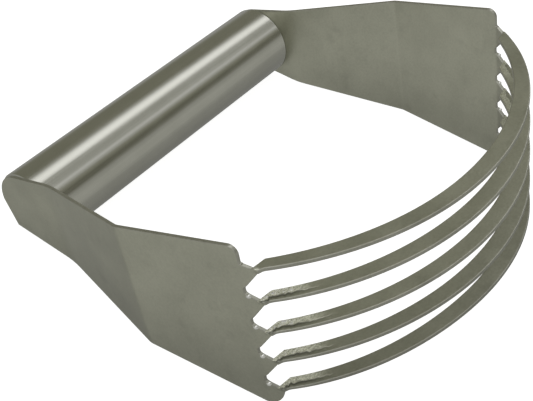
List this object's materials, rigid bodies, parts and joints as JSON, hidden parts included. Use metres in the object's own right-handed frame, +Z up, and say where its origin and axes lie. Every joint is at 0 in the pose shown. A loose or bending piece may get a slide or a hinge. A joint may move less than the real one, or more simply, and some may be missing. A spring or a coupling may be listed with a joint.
{
  "type": "pastry blender",
  "caption": "Hand pastry blender: a round tube handle between two folded sheet arms that carry curved blades, for cutting fat into flour.",
  "frame": {"origin": "on the table under the middle of the tool as it lies on its side", "axes": "+X along the handle, +Y from the blades towards the handle, +Z up from the table; the five blades lie one above the other, tipped 9 degrees so that handle and arm edges both touch the table"},
  "size_m": [0.1184, 0.1266, 0.0478],
  "materials": {
    "handle_steel": "polished along the tube",
    "sheet_steel": "fine satin",
    "cap_steel": "plain drawn sheet"
  },
  "bodies": {
    "root": {"handle_tube": "handle_steel", "end_cap_left": "cap_steel", "end_cap_right": "cap_steel", "arm_left": "sheet_steel", "arm_right": "sheet_steel", "blade_1": "sheet_steel", "blade_2": "sheet_steel", "blade_3": "sheet_steel", "blade_4": "sheet_steel", "blade_5": "sheet_steel"}
  },
  "joints": []
}
